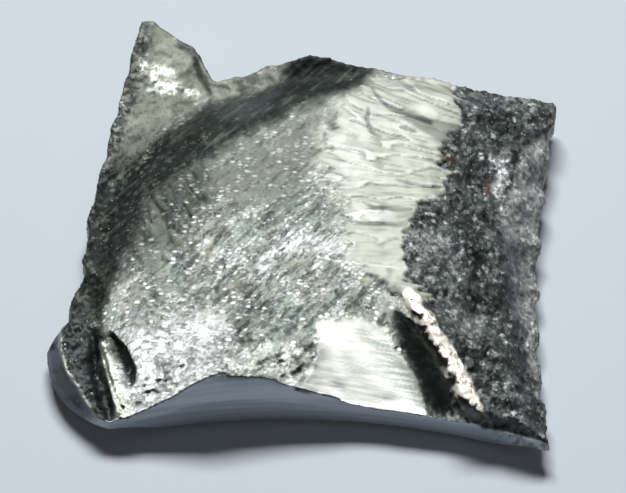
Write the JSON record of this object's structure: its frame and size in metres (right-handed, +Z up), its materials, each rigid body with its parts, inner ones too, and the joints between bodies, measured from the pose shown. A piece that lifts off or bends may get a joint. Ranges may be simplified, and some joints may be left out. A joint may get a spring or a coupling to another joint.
{
  "type": "broken tin ingot lump",
  "caption": "Lump of silvery tin broken off a cast ingot: a low slab with a raised middle, a smooth hollow front cut, torn thin edges and a horn at the back left.",
  "frame": {"origin": "on the floor, under the middle of the lump's box", "axes": "+Z up through the lump's thickness, +Y towards the torn back edge, away from the smooth front cut, +X towards the granular right side"},
  "size_m": [0.0318, 0.0308, 0.0064],
  "materials": {
    "tin": "satin"
  },
  "bodies": {
    "root": {"ingot": "tin"}
  },
  "joints": []
}
